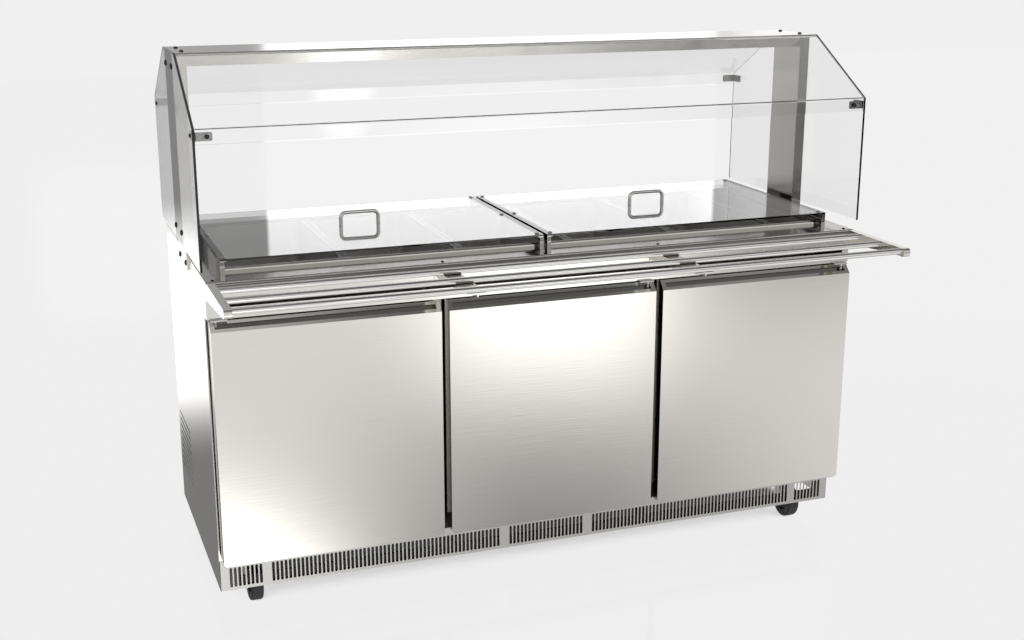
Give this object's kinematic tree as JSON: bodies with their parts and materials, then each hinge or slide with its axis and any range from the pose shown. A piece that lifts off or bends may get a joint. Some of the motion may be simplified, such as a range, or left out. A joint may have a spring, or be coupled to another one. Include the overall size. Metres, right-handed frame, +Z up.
{
  "type": "salad bar",
  "caption": "Stainless refrigerated salad bar on swivel casters: hinged doors, hanging pans under lift-off glass lids, a bolted glass sneeze guard and a tube tray slide.",
  "frame": {"origin": "bottom centre of the whole object, on the floor", "axes": "+X to the right along the tray slide, +Y from the doors to the rear panel, +Z up"},
  "size_m": [1.849, 1.026, 1.4355],
  "materials": {
    "sheet_steel": "satin",
    "door_steel": "satin",
    "pan_steel": "satin",
    "guard_glass": "clear",
    "lid_glass": "clear",
    "wire": "bright",
    "clip": "satin",
    "bolt": "satin",
    "tube": "bright",
    "caster_metal": "zinc plated",
    "wheel": "matt",
    "seal": "matt",
    "coil": "plain",
    "compressor": "satin",
    "fan": "matt"
  },
  "bodies": {
    "cabinet": {"left_side_panel": "sheet_steel", "right_side_panel": "sheet_steel", "rear_panel": "sheet_steel", "base_frame": "sheet_steel", "fascia": "sheet_steel", "mullions": "sheet_steel", "inner_liner": "sheet_steel", "worktop": "sheet_steel", "well_liner": "sheet_steel", "pan_frame": "sheet_steel", "guard_post_left": "sheet_steel", "guard_post_right": "sheet_steel", "guard_beam": "sheet_steel", "guard_cap": "sheet_steel", "tray_bracket_left": "sheet_steel", "tray_bracket_right": "sheet_steel", "tray_mid_brackets": "sheet_steel", "kick_grille": "sheet_steel", "hinge_brackets": "sheet_steel", "pan_1": "pan_steel", "pan_2": "pan_steel", "pan_3": "pan_steel", "pan_4": "pan_steel", "pan_5": "pan_steel", "pan_6": "pan_steel", "end_glass_left": "guard_glass", "end_glass_right": "guard_glass", "front_glass": "guard_glass", "back_glass": "guard_glass", "wire_shelves": "wire", "corner_clips": "clip", "bolts": "bolt", "tray_tubes": "tube", "caster_plates": "caster_metal", "condenser": "coil", "compressor": "compressor", "evaporator": "coil"},
    "door_left_swing": {"door_left": "door_steel", "door_left_gasket": "seal"},
    "door_middle_swing": {"door_middle": "door_steel", "door_middle_gasket": "seal"},
    "door_right_swing": {"door_right": "door_steel", "door_right_gasket": "seal"},
    "lid_left_lift": {"lid_left_glass": "lid_glass", "lid_left_walls": "sheet_steel", "lid_left_handle": "tube", "lid_left_screws": "tube"},
    "lid_right_lift": {"lid_right_glass": "lid_glass", "lid_right_walls": "sheet_steel", "lid_right_handle": "tube", "lid_right_screws": "tube"},
    "caster_front_left_swivel": {"caster_front_left_fork": "caster_metal"},
    "caster_front_left_roll": {"caster_front_left_wheel": "wheel"},
    "caster_front_right_swivel": {"caster_front_right_fork": "caster_metal"},
    "caster_front_right_roll": {"caster_front_right_wheel": "wheel"},
    "caster_rear_left_swivel": {"caster_rear_left_fork": "caster_metal"},
    "caster_rear_left_roll": {"caster_rear_left_wheel": "wheel"},
    "caster_rear_right_swivel": {"caster_rear_right_fork": "caster_metal"},
    "caster_rear_right_roll": {"caster_rear_right_wheel": "wheel"},
    "fan_turn": {"condenser_fan": "fan"}
  },
  "joints": [
    {"name": "door_left_hinge", "type": "hinge", "parent": "cabinet", "child": "door_left_swing", "pos_m": [-0.889, -0.223, 0.158], "axis": [0, 0, -1], "range_deg": [0, 100], "stiffness_Nm_per_rad": 2, "springref_deg": -45.84},
    {"name": "door_middle_hinge", "type": "hinge", "parent": "cabinet", "child": "door_middle_swing", "pos_m": [0.27867, -0.223, 0.158], "axis": [0, 0, 1], "range_deg": [0, 100], "stiffness_Nm_per_rad": 2, "springref_deg": -45.84},
    {"name": "door_right_hinge", "type": "hinge", "parent": "cabinet", "child": "door_right_swing", "pos_m": [0.889, -0.223, 0.158], "axis": [0, 0, 1], "range_deg": [0, 100], "stiffness_Nm_per_rad": 2, "springref_deg": -45.84},
    {"name": "lid_left_slide", "type": "slide", "parent": "cabinet", "child": "lid_left_lift", "axis": [0, 0, 1], "range_m": [0, 0.3]},
    {"name": "lid_right_slide", "type": "slide", "parent": "cabinet", "child": "lid_right_lift", "axis": [0, 0, 1], "range_m": [0, 0.3]},
    {"name": "caster_front_left_kingpin", "type": "hinge", "parent": "cabinet", "child": "caster_front_left_swivel", "pos_m": [-0.812, -0.095, 0.1], "axis": [0, 0, 1], "continuous": true},
    {"name": "caster_front_left_axle", "type": "hinge", "parent": "caster_front_left_swivel", "child": "caster_front_left_roll", "pos_m": [-0.812, -0.123, 0.05], "axis": [1, 0, 0], "continuous": true},
    {"name": "caster_front_right_kingpin", "type": "hinge", "parent": "cabinet", "child": "caster_front_right_swivel", "pos_m": [0.812, -0.095, 0.1], "axis": [0, 0, 1], "continuous": true},
    {"name": "caster_front_right_axle", "type": "hinge", "parent": "caster_front_right_swivel", "child": "caster_front_right_roll", "pos_m": [0.812, -0.123, 0.05], "axis": [1, 0, 0], "continuous": true},
    {"name": "caster_rear_left_kingpin", "type": "hinge", "parent": "cabinet", "child": "caster_rear_left_swivel", "pos_m": [-0.812, 0.405, 0.1], "axis": [0, 0, 1], "continuous": true},
    {"name": "caster_rear_left_axle", "type": "hinge", "parent": "caster_rear_left_swivel", "child": "caster_rear_left_roll", "pos_m": [-0.812, 0.377, 0.05], "axis": [1, 0, 0], "continuous": true},
    {"name": "caster_rear_right_kingpin", "type": "hinge", "parent": "cabinet", "child": "caster_rear_right_swivel", "pos_m": [0.812, 0.405, 0.1], "axis": [0, 0, 1], "continuous": true},
    {"name": "caster_rear_right_axle", "type": "hinge", "parent": "caster_rear_right_swivel", "child": "caster_rear_right_roll", "pos_m": [0.812, 0.377, 0.05], "axis": [1, 0, 0], "continuous": true},
    {"name": "fan_shaft", "type": "hinge", "parent": "cabinet", "child": "fan_turn", "pos_m": [-0.8225, 0.36875, 0.287], "axis": [1, 0, 0], "continuous": true}
  ]
}
